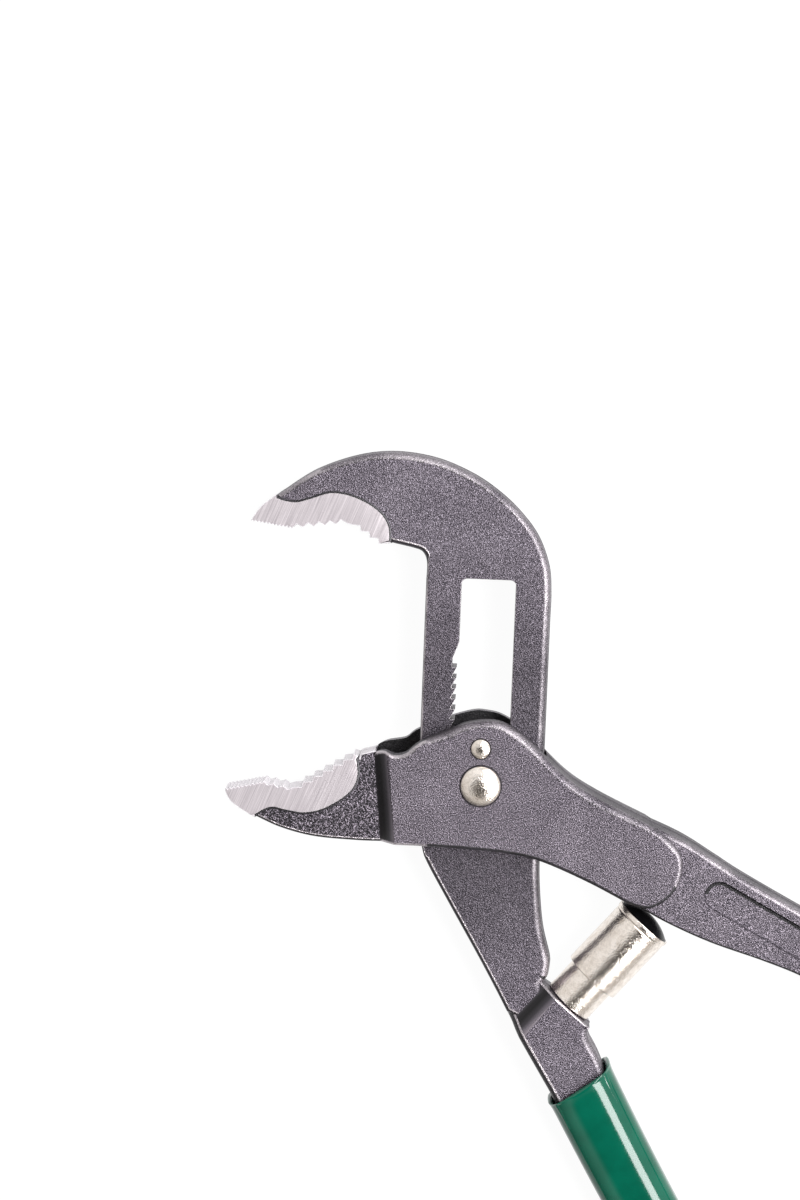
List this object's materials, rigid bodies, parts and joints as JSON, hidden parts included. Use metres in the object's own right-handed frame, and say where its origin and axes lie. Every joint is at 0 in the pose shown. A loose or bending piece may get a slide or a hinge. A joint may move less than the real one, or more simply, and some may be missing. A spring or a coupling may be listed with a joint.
{
  "type": "water pump pliers",
  "caption": "Self-adjusting water pump pliers: toothed hook jaw on a slotted ratchet arm, box joint with rivets, spring plunger between the handles, dipped vinyl grips.",
  "frame": {"origin": "on the axis of the pivot rivet, at the rear face of the box joint", "axes": "+X along the lower jaw from its tip towards the handles, +Y from the lower jaw towards the upper jaw, +Z out of the front face; the tool lies on its rear face"},
  "size_m": [0.2385, 0.2447, 0.019],
  "materials": {
    "forged_body": "black phosphated, grainy, bright at the ground jaw sides",
    "forged_arm": "black phosphated, grainy, bright at the ground jaw sides",
    "rivet": "bright nickel",
    "plunger": "bright nickel",
    "washer": "plain steel",
    "pawl": "hardened steel",
    "spring": "spring steel",
    "button": "dark burnished",
    "grip": "glossy dipped vinyl"
  },
  "bodies": {
    "lower_jaw": {"lower_jaw_handle": "forged_body", "pivot_rivet": "rivet", "stop_rivet": "rivet", "handle_grip": "grip"},
    "guide_washers": {"guide_washer_front": "washer", "guide_washer_rear": "washer"},
    "upper_jaw": {"upper_jaw_arm": "forged_arm", "arm_grip": "grip", "plunger_tube": "plunger", "plunger_spring": "spring"},
    "plunger": {"plunger_sleeve": "plunger", "plunger_button": "button"},
    "pawl": {"pawl": "pawl", "pawl_spring": "spring"}
  },
  "joints": [
    {"name": "handle_pivot", "type": "hinge", "parent": "lower_jaw", "child": "guide_washers", "pos_m": [0, 0, 0.00865], "axis": [0, 0, 1], "range_deg": [0, 26], "stiffness_Nm_per_rad": 0.4},
    {"name": "jaw_slide", "type": "slide", "parent": "guide_washers", "child": "upper_jaw", "axis": [-0.0384, -0.9993, 0], "range_m": [0, 0.035]},
    {"name": "pawl_swing", "type": "hinge", "parent": "guide_washers", "child": "pawl", "pos_m": [0, 0, 0.00865], "axis": [0, 0, -1], "range_deg": [0, 9]},
    {"name": "plunger_slide", "type": "slide", "parent": "upper_jaw", "child": "plunger", "axis": [-0.6756, -0.7373, 0], "range_m": [0, 0.0075], "stiffness_N_per_m": 1500, "deforming": ["plunger_spring"]}
  ],
  "couplings": [
    {"joint": "jaw_slide", "follows": "handle_pivot", "m_per_rad": 0.077129}
  ]
}
